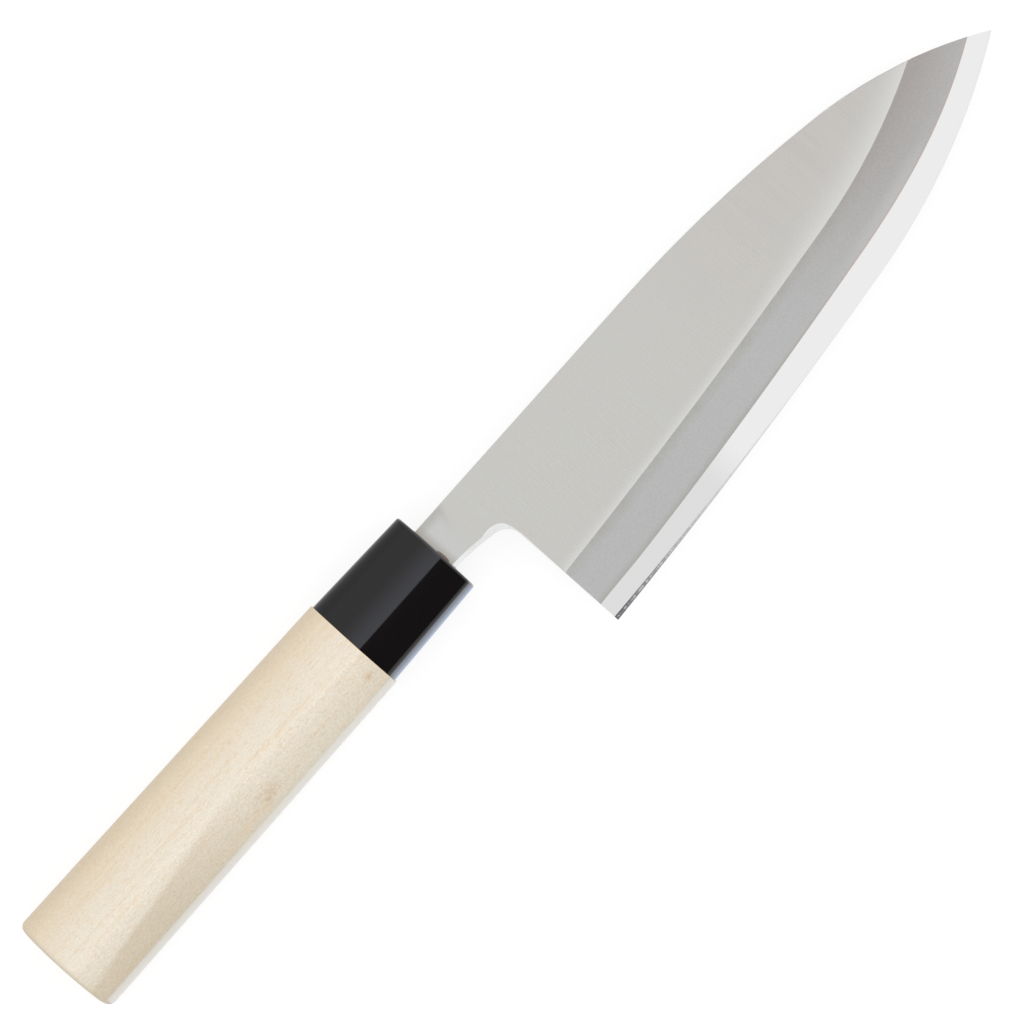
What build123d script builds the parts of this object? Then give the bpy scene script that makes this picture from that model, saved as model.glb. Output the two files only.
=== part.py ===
"""Deba knife for the right hand, lying on its back with the bevelled front face up.

While it is built, the knife points along +X with the ferrule's front face at X = 0, the spine
lies towards +Y and the cutting edge towards -Y. Z = 0 is the plane of the blade's flat back,
and the handle's axis runs along X at half the blade's thickness. At the end every piece moves
by the same amount, so that the origin is on the ground under the middle of the knife.
All lengths are in millimetres and all angles in degrees.
"""

import os
from math import asin, atan2, cos, degrees, hypot, radians, sin, tan

from build123d import *

# Blade, seen from the front
blade_length = 165.0
neck_length = 16.65
spine_height = 7.05
heel_height = 50.4
heel_lean = 0.2
tip_drop = 22.9
spine_straight_share = 0.353
spine_shoulder_share = 0.379
spine_shoulder_turn = 9.8
belly_reach_share = 0.634
belly_rise_share = 0.311
belly_slope_share = 1.427

# Blade, in section
blade_thickness = 4.6
bevel_width = 17.85
cutting_steel_thickness = 1.67
bevel_runout_at_heel = 0.84
bevel_runout_at_belly = 0.25
bevel_runout_at_tip = 0.5
edge_bevel_angle = 22.4
edge_land = 0.04
front_edge_round = 0.3

# Hollow of the back
hollow_depth = 0.5
hollow_heel_rim = 4.0
hollow_tip_rim = 8.0
hollow_spine_rim = 3.4
hollow_edge_rim = 5.4
hollow_deepest_share = 0.17
hollow_tilt = 1.1

# Neck
neck_height = 13.15
neck_underside_radius = 66.7
neck_underside_turn = 12.1
choil_radius = 5.0
neck_bevel_width = 1.15
neck_bevel_depth = 1.3
neck_bevel_end_turn = 52.0
steel_seam_from_heel = 9.0

# Tang
tang_length = 96.0
tang_end_height = 6.5
tang_end_thickness = 2.8
tang_end_round = 2.0
neck_run_in = 2.2

# Chestnut section at the ferrule's rear end, which the rest of the handle grows out from
section_height = 26.3
ridge_depth = 11.15
ridge_drop = 1.85
upper_ridge_slope = 15.0
lower_ridge_slope = 27.0
upper_face_radius = 46.0
lower_face_radius = 59.0
back_face_radius = 30.0
upper_corner_radius = 8.25
lower_corner_radius = 7.5
back_corner_radius = 8.7
side_flat = 0.6
rolled_strips = 3

# Ferrule
ferrule_length = 29.6
ferrule_front_height = 24.6
ferrule_wall = 2.2
ferrule_front_wall = 3.2
ferrule_crown_radius = 120.0
ferrule_edge_round = 0.9
slot_clearance = 0.4
slot_corner_round = 0.35

# Grip
handle_length = 134.0
grip_ridge_round = 3.0
grip_front_height = 27.3
grip_butt_height = 29.15
butt_crown_radius = 175.0
butt_edge_round = 1.7
grip_front_bevel = 0.35
tenon_fit = 0.05
tenon_end_gap = 0.2
tang_hole_clearance = 0.6
tang_hole_spare = 2.0

# Mouth seal
seal_proud = 0.12
bead_proud = 0.55
bead_half_length = 2.0
bead_height = 1.0
bead_drop = 2.0

# Room that a cutting tool runs past the work
overrun = 5.0

# Places worked out from the sizes above
axis_height = blade_thickness / 2
heel_x = neck_length
heel_corner = Vector(heel_x + heel_lean, spine_height - heel_height)
tip = Vector(heel_corner.X + blade_length, spine_height - tip_drop)
belly_step = Vector(blade_length * belly_reach_share, (heel_height - tip_drop) * belly_rise_share)
belly = heel_corner + belly_step
belly_slope = degrees(atan2(belly_step.Y, belly_step.X)) * belly_slope_share
spine_shoulder = Vector(heel_corner.X + blade_length * spine_straight_share, spine_height)
spine_shoulder_radius = blade_length * spine_shoulder_share / sin(radians(spine_shoulder_turn))
neck_underside = spine_height - neck_height


def inward(slope):
    """Unit direction from the edge into the blade, where the edge climbs at this slope."""
    return Vector(-sin(radians(slope)), cos(radians(slope)))


def arc_centre(touch, slope, through):
    """Centre of the arc that leaves one point at a slope and passes through another point."""
    towards_centre = inward(slope)
    span = through - touch
    return touch + towards_centre * (span.length**2 / (2 * span.dot(towards_centre)))


def pushed_out(point, centre, distance):
    """The point moved straight away from the arc's centre."""
    return point + (point - centre).normalized() * distance


def turn_between(centre, start, end):
    """Signed turn about the centre from one point to the other."""
    before = start - centre
    after = end - centre
    return degrees(atan2(before.X * after.Y - before.Y * after.X, before.dot(after)))


def spine_arc_past_tip(start, slope):
    """Last arc of the spine, which drops through the tip and runs a little past it."""
    falling = Vector(cos(radians(slope)), sin(radians(slope)))
    to_centre = Vector(falling.Y, -falling.X)
    span = tip - start
    radius = span.length**2 / (2 * span.dot(to_centre))
    centre = start + to_centre * radius
    turn = turn_between(centre, start, tip) - degrees(overrun / radius)
    return JernArc(start, falling, radius, turn)


def fall_at_start(arc):
    """Angle by which the arc already falls at its start."""
    return degrees(atan2(-(arc % 0).Y, (arc % 0).X))


def underside_arcs():
    """The gentle arc under the neck and the tight one that turns it into the heel."""
    choil_share = sin(radians(neck_underside_turn))
    first_centre_x = heel_x - choil_radius + (choil_radius - neck_underside_radius) * choil_share
    start_turn = degrees(asin(-first_centre_x / neck_underside_radius))
    start = Vector(0, neck_underside)
    leaving = Vector(cos(radians(start_turn)), -sin(radians(start_turn)))
    gentle = JernArc(start, leaving, neck_underside_radius, start_turn - neck_underside_turn)
    tight = JernArc(gentle @ 1, gentle % 1, choil_radius, neck_underside_turn - 90)
    return gentle, tight


def blade_blank():
    """Flat blank of the neck and the blade, with room past the cutting edge."""
    low = heel_corner.Y - overrun
    inside = Vector(-neck_run_in, spine_height)
    gentle, tight = underside_arcs()
    shoulder = JernArc(spine_shoulder, (1, 0), spine_shoulder_radius, -spine_shoulder_turn)
    nose = spine_arc_past_tip(shoulder @ 1, -spine_shoulder_turn)
    past_tip = nose @ 1
    heel_lean_share = heel_lean / ((tight @ 1).Y - heel_corner.Y)
    heel_foot = Vector(heel_corner.X + overrun * heel_lean_share, low)
    straight = Polyline(gentle @ 0, (-neck_run_in, neck_underside), inside, spine_shoulder)
    rest = Polyline(past_tip, (past_tip.X, low), heel_foot, tight @ 1)
    outline = make_face([straight, shoulder, nose, rest, tight, gentle])
    blank = extrude(outline, blade_thickness)
    front = blank.faces().sort_by(Axis.Z)[-1].edges()
    spare = [front.sort_by(Axis.X)[0], front.sort_by(Axis.X)[-1], front.sort_by(Axis.Y)[0]]
    return fillet([edge for edge in front if edge not in spare], front_edge_round)


def ring_cutter(centre, start_point, turn, profile):
    """Cutter turned about an upright line through the centre, from the start point on.

    The profile's points are (distance from the centre, height) pairs.
    """
    outward = (start_point - centre).normalized()
    upright = Plane(origin=centre, x_dir=outward, z_dir=outward.cross(Vector(0, 0, 1)))
    section = upright * make_face(Polyline(*profile, close=True))
    return revolve(section, Axis(centre, (0, 0, 1)), turn)


def cone_cutter(centre, start_point, turn, run_out, rise_share, land):
    """Cutter that leaves a bevel whose height at the run-out radius is the land."""
    high = blade_thickness + overrun
    reach = (high - land) / rise_share
    profile = [
        (run_out - reach, high),
        (run_out, land),
        (run_out, -overrun),
        (run_out + reach, -overrun),
        (run_out + reach, high),
    ]
    return ring_cutter(centre, start_point, turn, profile)


def bevel_pair(belly_point, heel_point, tip_point, rise_share, land):
    """The rear and front cones of one bevel, which meet smoothly at the belly."""
    cones = []
    for end, spare in ((heel_point, -1), (tip_point, 1)):
        centre = arc_centre(belly_point, belly_slope, end)
        radius = (belly_point - centre).length
        turn = turn_between(centre, belly_point, end) + spare * degrees(3 * overrun / radius)
        cones.append(cone_cutter(centre, belly_point, turn, radius, rise_share, land))
    return cones


def bevel_cutters():
    """Cones of the wide bevel and of the narrow one along the cutting edge."""
    rear_centre = arc_centre(belly, belly_slope, heel_corner)
    front_centre = arc_centre(belly, belly_slope, tip)
    wide = bevel_pair(
        pushed_out(belly, rear_centre, bevel_runout_at_belly),
        pushed_out(heel_corner, rear_centre, bevel_runout_at_heel),
        pushed_out(tip, front_centre, bevel_runout_at_tip),
        blade_thickness / bevel_width,
        0,
    )
    narrow = bevel_pair(belly, heel_corner, tip, tan(radians(edge_bevel_angle)), edge_land)
    return wide + narrow


def neck_bevel_cutters():
    """Wedges that bevel the neck's lower front corner from the ferrule into the choil."""
    gentle, tight = underside_arcs()
    cutters = []
    for arc, end_turn in ((gentle, neck_underside_turn), (tight, neck_bevel_end_turn)):
        top = blade_thickness + neck_bevel_depth
        outside = arc.radius - neck_bevel_width
        profile = [
            (outside, blade_thickness - 2 * neck_bevel_depth),
            (arc.radius + 2 * neck_bevel_width, top),
            (outside, top),
        ]
        turn = fall_at_start(arc) - end_turn
        cutters.append(ring_cutter(arc.arc_center, arc @ 0, turn, profile))
    return cutters


def ground_blade():
    """Neck and blade in one piece, bevelled, before the steel layer is told apart."""
    blade = blade_blank()
    for cutter in bevel_cutters() + neck_bevel_cutters():
        blade -= cutter
    return blade


def steel_layer():
    """The space of the cutting steel: a slab under the cladding with a scarfed rear end."""
    seam = heel_x - steel_seam_from_heel
    length = tip.X + overrun - seam
    depth = heel_height + 2 * overrun
    side = Polyline(
        (seam, 0),
        (seam + cutting_steel_thickness, cutting_steel_thickness),
        (seam + length, cutting_steel_thickness),
        (seam + length, -overrun),
        (seam, -overrun),
        close=True,
    )
    upright = Plane(origin=(0, spine_height + overrun, 0), x_dir=(1, 0, 0), z_dir=(0, -1, 0))
    return extrude(upright * make_face(side), depth)


def hollow_cutter():
    """Barrel of a very large wheel, which leaves the back's leaf-shaped hollow."""
    length = blade_length - hollow_heel_rim - hollow_tip_rim
    heel_reach = length * hollow_deepest_share
    tip_reach = length - heel_reach
    half_width = (heel_height - hollow_spine_rim - hollow_edge_rim) / 2
    wheel_radius = half_width**2 / (2 * hollow_depth)
    deepest = heel_x + hollow_heel_rim + heel_reach
    centre_line = Vector(deepest, spine_height - hollow_spine_rim - half_width)
    along = Vector(cos(radians(hollow_tilt)), sin(radians(hollow_tilt)))
    upright = Plane(origin=centre_line, x_dir=along, z_dir=along.cross(Vector(0, 0, 1)))
    heel_side = Bezier((-heel_reach, 0), (-heel_reach / 2, hollow_depth), (0, hollow_depth))
    tip_side = Bezier((0, hollow_depth), (tip_reach / 2, hollow_depth), (tip_reach, 0))
    low_corners = [(tip_reach, -overrun), (-heel_reach, -overrun)]
    under = Polyline((tip_reach, 0), *low_corners, (-heel_reach, 0))
    section = upright * make_face([heel_side, tip_side, under])
    half_turn = degrees(half_width * 2 / wheel_radius)
    wheel_axis = Axis(centre_line - Vector(0, 0, wheel_radius - hollow_depth), along)
    return revolve(section.rotate(wheel_axis, -half_turn), wheel_axis, 2 * half_turn)


def tang():
    """Hidden tang, which tapers both ways into the grip."""
    root = Pos(-neck_run_in, spine_height - neck_height / 2, axis_height)
    end = Pos(-tang_length, 0, axis_height)
    wide = root * (Plane.YZ * Rectangle(neck_height, blade_thickness))
    slim = end * (Plane.YZ * Rectangle(tang_end_height, tang_end_thickness))
    body = loft([wide, slim], ruled=True)
    corners = body.faces().sort_by(Axis.X)[0].edges().filter_by(Axis.Z)
    return fillet(corners, tang_end_round)


def front_arcs(heading, slope, reach, face_radius, corner_radius):
    """From the ridge to one side: a gentle arc, then a tight one that ends running straight back."""
    rise = reach + face_radius * sin(radians(slope)) - corner_radius
    corner_slope = degrees(asin(rise / (face_radius - corner_radius)))
    leaving = Vector(heading * cos(radians(slope)), -sin(radians(slope)))
    ridge = Vector(-ridge_drop, ridge_depth)
    gentle = JernArc(ridge, leaving, face_radius, heading * (slope - corner_slope))
    tight = JernArc(gentle @ 1, gentle % 1, corner_radius, heading * (corner_slope - 90))
    return gentle, tight


def base_section():
    """Chestnut outline at the ferrule's rear end, flat, with the ridge towards +Y."""
    half = section_height / 2
    upper = front_arcs(1, upper_ridge_slope, half + ridge_drop, upper_face_radius, upper_corner_radius)
    lower = front_arcs(-1, lower_ridge_slope, half - ridge_drop, lower_face_radius, lower_corner_radius)
    upper_end = upper[1] @ 1
    lower_end = lower[1] @ 1
    level = min(upper_end.Y, lower_end.Y) - side_flat
    back_slope = degrees(asin((half - back_corner_radius) / (back_face_radius - back_corner_radius)))
    upper_back = JernArc((half, level), (0, -1), back_corner_radius, back_slope - 90)
    back = JernArc(upper_back @ 1, upper_back % 1, back_face_radius, -2 * back_slope)
    lower_back = JernArc(back @ 1, back % 1, back_corner_radius, back_slope - 90)
    sides = [Line(upper_end, upper_back @ 0), Line(lower_back @ 1, lower_end)]
    return make_face([*upper, *lower, upper_back, back, lower_back, *sides])


def chestnut(x, height, inset=0, ridge_round=0):
    """Section of the handle across X, as high as given, or smaller by an inset all round."""
    section = base_section()
    if ridge_round:
        section = fillet(section.vertices().sort_by(Axis.Y)[-1], ridge_round)
    growth = (height - section_height) / 2 - inset
    if growth:
        section = offset(section, growth, kind=Kind.INTERSECTION)
    across = Plane(origin=(x, 0, axis_height), x_dir=(0, 1, 0), z_dir=(1, 0, 0))
    return across * section


def rolled_end(solid, end, radius):
    """Rounds the rim of the solid's first or last face along X, in a few narrow strips.

    The corners of the strips lie on a quarter circle. Each strip is cut from the corner that
    the one before it left on the end face.
    """
    step = radians(90 / rolled_strips)
    corners = [
        Vector(1 - sin(strip * step), 1 - cos(strip * step)) * radius
        for strip in range(rolled_strips + 1)
    ]
    cut_inset = 0
    for lower, upper in zip(corners, corners[1:]):
        next_inset = lower.Y + lower.X * (upper.Y - lower.Y) / (lower.X - upper.X)
        end_face = solid.faces().sort_by(Axis.X)[end]
        along_side = hypot(lower.X, lower.Y - cut_inset)
        rim = end_face.edges()
        solid = chamfer(rim, next_inset - cut_inset, along_side, reference=end_face)
        cut_inset = next_inset
    return solid


def ferrule_height_at(x):
    """Height of the ferrule, which grows steadily from its front to its rear."""
    return ferrule_front_height - x * (section_height - ferrule_front_height) / ferrule_length


def tang_slot(clearance, start, end):
    """Straight slot for the neck between two places along X."""
    opening = Rectangle(neck_height + 2 * clearance, blade_thickness + 2 * clearance)
    rounded = fillet(opening.vertices(), slot_corner_round)
    face = Pos(start, spine_height - neck_height / 2, axis_height) * (Plane.YZ * rounded)
    return extrude(face, end - start, dir=(1, 0, 0))


def tang_hole():
    """Blind hole in the wood that the tang and its bedding fill."""
    clearance = 2 * tang_hole_clearance
    mouth = Pos(-ferrule_front_wall, spine_height - neck_height / 2, axis_height)
    end = Pos(-tang_length - tang_hole_spare, 0, axis_height)
    wide = mouth * (Plane.YZ * Rectangle(neck_height + clearance, blade_thickness + clearance))
    slim = end * (Plane.YZ * Rectangle(tang_end_height + clearance, tang_end_thickness + clearance))
    return loft([wide, slim], ruled=True)


def ferrule():
    """Moulded cap with a crowned front wall, the slot for the neck and an open rear."""
    front = chestnut(overrun, ferrule_height_at(overrun))
    rear = chestnut(-ferrule_length, section_height)
    shell = loft([rear, front], ruled=True)
    shell = rolled_end(shell & crown(), -1, ferrule_edge_round)
    pocket_front = chestnut(-ferrule_front_wall, ferrule_height_at(-ferrule_front_wall), ferrule_wall)
    past_rear = -ferrule_length - overrun
    pocket_rear = chestnut(past_rear, ferrule_height_at(past_rear), ferrule_wall)
    shell -= loft([pocket_rear, pocket_front], ruled=True)
    return shell - tang_slot(slot_clearance, -ferrule_front_wall - overrun, overrun)


def handle_grip():
    """Wooden grip with a crowned butt, a tenon for the ferrule and the tang hole."""
    butt = -handle_length
    growth = (grip_butt_height - grip_front_height) / (handle_length - ferrule_length)
    rear = chestnut(butt - overrun, grip_butt_height + overrun * growth, 0, grip_ridge_round)
    front = chestnut(-ferrule_length, grip_front_height, 0, grip_ridge_round)
    grip = loft([rear, front], ruled=True)
    grip &= Pos(butt + butt_crown_radius, 0, axis_height) * Sphere(butt_crown_radius)
    grip = rolled_end(grip, 0, butt_edge_round)
    shoulder = grip.faces().sort_by(Axis.X)[-1]
    grip = chamfer(shoulder.edges(), grip_front_bevel)
    tenon_end = -ferrule_front_wall - tenon_end_gap
    tenon = loft(
        [
            chestnut(-ferrule_length, section_height, ferrule_wall + tenon_fit),
            chestnut(tenon_end, ferrule_height_at(tenon_end), ferrule_wall + tenon_fit),
        ],
        ruled=True,
    )
    return grip + tenon - tang_hole()


def tang_bedding(tang_solid):
    """Cured resin between the tang and the wood, from the front wall to the hole's end."""
    return tang_hole() - tang_solid - tang_slot(0, -neck_run_in - overrun, 0)


def crown(proud=0):
    """Ball whose surface is the ferrule's crowned front, or stands proud of it."""
    return Pos(-ferrule_crown_radius, 0, axis_height) * Sphere(ferrule_crown_radius + proud)


def mouth_seal(blade_solid, ferrule_solid):
    """Resin that fills the ferrule's slot around the neck, with a bead on the front side."""
    fill = tang_slot(slot_clearance, -ferrule_front_wall, overrun) & crown(seal_proud)
    bead_shape = scale(Sphere(1), by=(bead_proud, bead_half_length, bead_height))
    bead = Pos(0, -bead_drop, blade_thickness) * bead_shape
    return (fill + bead) - blade_solid - ferrule_solid


def knife():
    """All pieces of the knife by name, before they are moved to the origin."""
    whole_blade = ground_blade()
    layer = steel_layer()
    steel = (whole_blade & layer) - hollow_cutter()
    tang_solid = tang()
    cladding = (whole_blade - layer) + tang_solid
    cap = ferrule()
    return {
        "blade_cladding": cladding,
        "cutting_steel": steel,
        "ferrule": cap,
        "handle_grip": handle_grip(),
        "tang_bedding": tang_bedding(tang_solid),
        "mouth_seal": mouth_seal(cladding, cap),
    }


def main():
    pieces = knife()
    box = Compound(children=[Compound(piece.solids()) for piece in pieces.values()]).bounding_box()
    ground = Pos(-box.center().X, -box.center().Y, -box.min.Z)
    os.makedirs("parts", exist_ok=True)
    for name, piece in pieces.items():
        placed = ground * Compound(piece.solids())
        export_step(placed, f"parts/{name}.step")
        print(name, len(placed.solids()), round(placed.volume, 2), placed.bounding_box())


main()
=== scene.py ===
"""Finishes for a deba kitchen knife, with its ferrule, grip and mouth resin as smooth meshes.

The packed CAD model is the fixed frame. The blade and the bedding keep their CAD meshes and get
their materials here. Lengths are in metres. The knife frame has its origin at the middle of the
ferrule's front, in the plane of the blade's back: +X to the tip, +Y to the spine, +Z to the
bevelled front.
"""

from math import asin, atan2, cos, radians, sin, sqrt, tan

import bmesh
import bpy
from bpy.props import FloatProperty, FloatVectorProperty, PointerProperty
from bpy.types import Operator, Panel, PropertyGroup
from mathutils import Matrix, Vector


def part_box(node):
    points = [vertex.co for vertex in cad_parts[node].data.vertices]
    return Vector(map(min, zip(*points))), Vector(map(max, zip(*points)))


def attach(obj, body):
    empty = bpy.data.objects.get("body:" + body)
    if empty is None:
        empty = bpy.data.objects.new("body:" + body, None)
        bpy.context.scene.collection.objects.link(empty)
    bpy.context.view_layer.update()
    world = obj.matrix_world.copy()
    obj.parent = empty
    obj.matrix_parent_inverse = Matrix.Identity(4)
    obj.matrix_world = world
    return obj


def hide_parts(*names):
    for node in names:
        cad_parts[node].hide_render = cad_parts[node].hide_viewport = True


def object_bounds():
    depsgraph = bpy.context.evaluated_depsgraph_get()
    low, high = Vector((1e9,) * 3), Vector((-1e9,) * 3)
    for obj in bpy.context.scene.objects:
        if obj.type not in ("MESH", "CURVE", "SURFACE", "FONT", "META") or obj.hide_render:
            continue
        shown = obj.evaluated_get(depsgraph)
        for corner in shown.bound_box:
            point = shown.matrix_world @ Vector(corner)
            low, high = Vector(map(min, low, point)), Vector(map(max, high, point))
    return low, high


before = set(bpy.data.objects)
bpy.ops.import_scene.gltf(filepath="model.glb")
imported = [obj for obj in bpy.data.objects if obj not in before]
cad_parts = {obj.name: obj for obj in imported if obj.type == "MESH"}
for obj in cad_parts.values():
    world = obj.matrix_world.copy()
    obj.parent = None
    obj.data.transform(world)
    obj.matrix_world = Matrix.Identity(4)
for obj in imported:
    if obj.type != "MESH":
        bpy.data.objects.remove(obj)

bl_info = {
    "name": "Deba knife",
    "version": (1, 0, 0),
    "blender": (4, 5, 0),
    "location": "3D View > Sidebar > Deba knife",
    "description": "Finishes and smooth handle pieces of a deba kitchen knife",
    "category": "Object",
}

MILLIMETRE = 0.001
BODY = "root"
CAD_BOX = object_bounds()

ferrule_low, ferrule_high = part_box("ferrule")
steel_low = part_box("cutting_steel")[0]
grip_low, grip_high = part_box("handle_grip")
FERRULE_LENGTH = 29.6 * MILLIMETRE
KNIFE_ORIGIN = Vector((
    ferrule_low.x + FERRULE_LENGTH,
    (ferrule_low.y + ferrule_high.y) / 2,
    steel_low.z,
))
HANDLE_LENGTH = KNIFE_ORIGIN.x - grip_low.x
SECTION_HEIGHT = ferrule_high.y - ferrule_low.y
BUTT_HEIGHT = grip_high.y - grip_low.y

# Edges in each arc of the handle's outline: three arcs make the back, and one edge the side flat
RIDGE_STEPS = 4
UPPER_FACE_STEPS = 10
UPPER_CORNER_STEPS = 10
BACK_STEPS = 12
FLANK_STEPS = 6
LOWER_CORNER_STEPS = 4
LOWER_FACE_STEPS = 5

# Edges of a slot's outline, 76 in all like the handle's
SLOT_HEIGHT_STEPS = 24
SLOT_WIDTH_STEPS = 8
SLOT_CORNER_STEPS = 3

# Each ring on the butt, as a share of the one round it
BUTT_RINGS = (0.8, 0.8, 0.75, 0.65, 0.5)

# How near the ends of an outline are merged, and where shading stays sharp
MERGE_DISTANCE = 0.004 * MILLIMETRE
SHARP_ANGLE = radians(32)

# How the belt's lines and the wood's grain lean
BELT_LEAN = radians(-1.5)
GRAIN_LEAN = radians(-4.5)

# How the weld's height changes between two places along the blade, in millimetres
WELD_WAVES = (
    ("SUBTRACT", 40, 126, 6.15, 6.8),
    ("ADD", 122, 170, 0, 1.05),
    ("SUBTRACT", 17, 34, 0.3, 0),
)

# Places of the smears along and across the handle and their reach, in millimetres
SMEARS = ((-70.3, -8.8, 3.4), (-32.6, -7.9, 1.5))
SMEAR_SQUEEZE = 0.55

# Settings and a colour that many nodes share
SMOOTH = {"interpolation_type": "SMOOTHSTEP"}
BLEND_COLOURS = {"data_type": "RGBA"}
BLEND_VALUES = {"data_type": "FLOAT"}
WHITE = (1, 1, 1, 1)

# Floor, lamp, dark card and camera
FLOOR_REACH = 4.0
FLOOR_DROP = 0.05 * MILLIMETRE
LAMP_SIZE = 2.0
LAMP_POWER = 11.5
LAMP_HEIGHT = 1.0
CARD_AWAY = 0.6
CARD_HALF_LENGTH = 0.4
CARD_LOW = radians(12)
CARD_HIGH = radians(38.5)
SENSOR_WIDTH = 36
CAMERA_HEIGHT = 3.0
VIEW_WIDTH = 0.246
VIEW_CENTRE = (-4.768 * MILLIMETRE, 7.213 * MILLIMETRE)
VIEW_TURN = radians(-48.2)


def linear_colour(code):
    """Linear red, green, blue and alpha of an sRGB hex code."""
    channels = [int(code[place:place + 2], 16) / 255 for place in (1, 3, 5)]
    linear = [c / 12.92 if c <= 0.04045 else ((c + 0.055) / 1.055) ** 2.4 for c in channels]
    return (*linear, 1.0)


def size(name, millimetres, description):
    """Length that can be set in the panel."""
    return FloatProperty(
        name=name,
        description=description,
        default=millimetres * MILLIMETRE,
        unit="LENGTH",
        precision=5,
    )


def angle(name, value, description):
    """Angle that can be set in the panel."""
    return FloatProperty(name=name, description=description, default=radians(value), unit="ROTATION")


def share(name, value, description):
    """Share that can be set in the panel."""
    return FloatProperty(name=name, description=description, default=value, subtype="FACTOR")


def colour(name, code, description):
    """Colour that can be set in the panel."""
    return FloatVectorProperty(
        name=name,
        description=description,
        default=linear_colour(code),
        subtype="COLOR",
        size=4,
        min=0,
        max=1,
    )


class DebaHandleSizes(PropertyGroup):
    """Sizes of the chestnut-shaped handle"""

    axis_height: size("Axis height", 2.3, "Height of the handle's axis over the blade's back")
    ridge_depth: size("Ridge depth", 11.15, "How far the ridge stands out from the axis")
    ridge_drop: size("Ridge drop", 1.85, "How far the ridge lies towards the edge side")
    upper_slope: angle("Upper slope", 15.0, "Slope of the spine side's face at the ridge")
    lower_slope: angle("Lower slope", 27.0, "Slope of the edge side's face at the ridge")
    upper_face: size("Upper face radius", 46.0, "Arc of the face between ridge and spine side")
    lower_face: size("Lower face radius", 59.0, "Arc of the face between ridge and edge side")
    back_face: size("Back radius", 30.0, "Arc of the back")
    upper_corner: size("Upper corner radius", 8.25, "Corner between the upper face and the side")
    lower_corner: size("Lower corner radius", 3.3, "Corner between the lower face and the flank")
    edge_flank: size("Edge flank radius", 30.0, "Arc of the steep flank on the edge side")
    flank_slope: angle("Edge flank slope", 72.0, "Slope of the flank where it meets the lower corner")
    back_corner: size("Back corner radius", 8.7, "Corner between the spine side and the back")
    side_flat: size("Side flat", 0.6, "Flat stretch of the spine side")
    ferrule_front: size("Ferrule front height", 24.6, "Height of the ferrule at its front")
    ferrule_wall: size("Ferrule wall", 2.2, "Thickness of the ferrule's side wall")
    front_wall: size("Front wall", 3.2, "Thickness of the ferrule's front wall")
    ferrule_apex: size("Ferrule apex", 0.25, "How far the crowned front passes the end of the neck")
    ferrule_crown: size("Ferrule crown radius", 300.0, "Ball that crowns the ferrule's front")
    ferrule_round: size("Ferrule rim", 0.6, "Rounding of the ferrule's front rim")
    ferrule_ridge: size("Ferrule ridge", 0.4, "Small rounding that moulding leaves on the ridge")
    grip_front: size("Grip front height", 27.3, "Height of the grip at the ferrule")
    grip_ridge: size("Grip ridge", 3.0, "Sanded radius of the wood's ridge, less the section's growth")
    grip_bevel: size("Grip front bevel", 0.15, "Small bevel where the wood meets the ferrule")
    butt_crown: size("Butt crown radius", 175.0, "Ball that crowns the butt")
    butt_round: size("Butt rim", 1.7, "Rounding of the butt's rim")
    tenon_fit: size("Tenon fit", 0.05, "Room between the tenon and the ferrule")
    tenon_gap: size("Tenon gap", 0.2, "Room before the tenon's end")


class DebaMouthSizes(PropertyGroup):
    """Sizes of the neck's slot, its resin and the tang's hole"""

    neck_height: size("Neck height", 13.15, "Height of the neck where it enters the ferrule")
    neck_top: size("Spine height", 7.05, "Height of the spine over the handle's axis")
    blade_thickness: size("Blade thickness", 4.6, "Thickness of the blade at the spine")
    neck_bevel_width: size("Neck bevel width", 1.15, "Width of the bevel under the neck")
    neck_bevel_depth: size("Neck bevel depth", 1.3, "Depth of the bevel under the neck")
    clearance: size("Slot clearance", 0.4, "Room around the neck that the resin fills")
    corner: size("Slot corner", 0.35, "Rounding of the slot's corners")
    proud: size("Resin proud", 0.03, "How far the resin stands out of the slot")
    bead_proud: size("Bead proud", 0.42, "How far the bead stands out of the ferrule")
    bead_half: size("Bead half length", 2.0, "Half of the bead's length")
    bead_height: size("Bead height", 1.0, "How far the bead climbs on the neck")
    bead_drop: size("Bead drop", 2.0, "How far the bead's middle lies below the axis")
    tang_length: size("Tang length", 96.0, "How far the tang runs into the handle")
    tang_end: size("Tang end height", 6.5, "Height of the tang at its end")
    tang_thin: size("Tang end thickness", 2.8, "Thickness of the tang at its end")
    hole_room: size("Hole room", 0.6, "Room between the tang and the wood")
    hole_spare: size("Hole spare", 2.0, "How far the hole runs past the tang")


class DebaBladeSizes(PropertyGroup):
    """Sizes that place the finishes on the blade"""

    blade_length: size("Blade length", 165.0, "From the heel's corner to the tip along the axis")
    neck_length: size("Neck length", 16.65, "From the ferrule to the heel")
    spine_height: size("Spine height", 7.05, "Height of the spine over the handle's axis")
    heel_height: size("Heel height", 50.4, "From the spine to the heel's corner")
    heel_lean: size("Heel lean", 0.2, "How far the heel's corner lies ahead of the choil")
    tip_drop: size("Tip drop", 22.9, "How far the tip lies below the spine")
    belly_reach: share("Belly reach", 0.634, "Place of the belly as a share of the blade length")
    belly_rise: share("Belly rise", 0.311, "Height of the belly as a share of the tip's height")
    belly_slope: share("Belly slope", 1.427, "Slope of the edge at the belly against its chord")
    bevel_width: size("Bevel width", 17.85, "Width of the wide bevel")
    choil_radius: size("Choil radius", 5.0, "Arc between the neck's underside and the heel")
    choil_height: size("Choil height", -12.46, "Height of that arc's centre over the handle's axis")
    heel_run_out: size("Run-out at the heel", 0.84, "How far past the edge the wide bevel ends")
    belly_run_out: size("Run-out at the belly", 0.25, "How far past the edge the wide bevel ends")
    tip_run_out: size("Run-out at the tip", 0.5, "How far past the edge the wide bevel ends")


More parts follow.
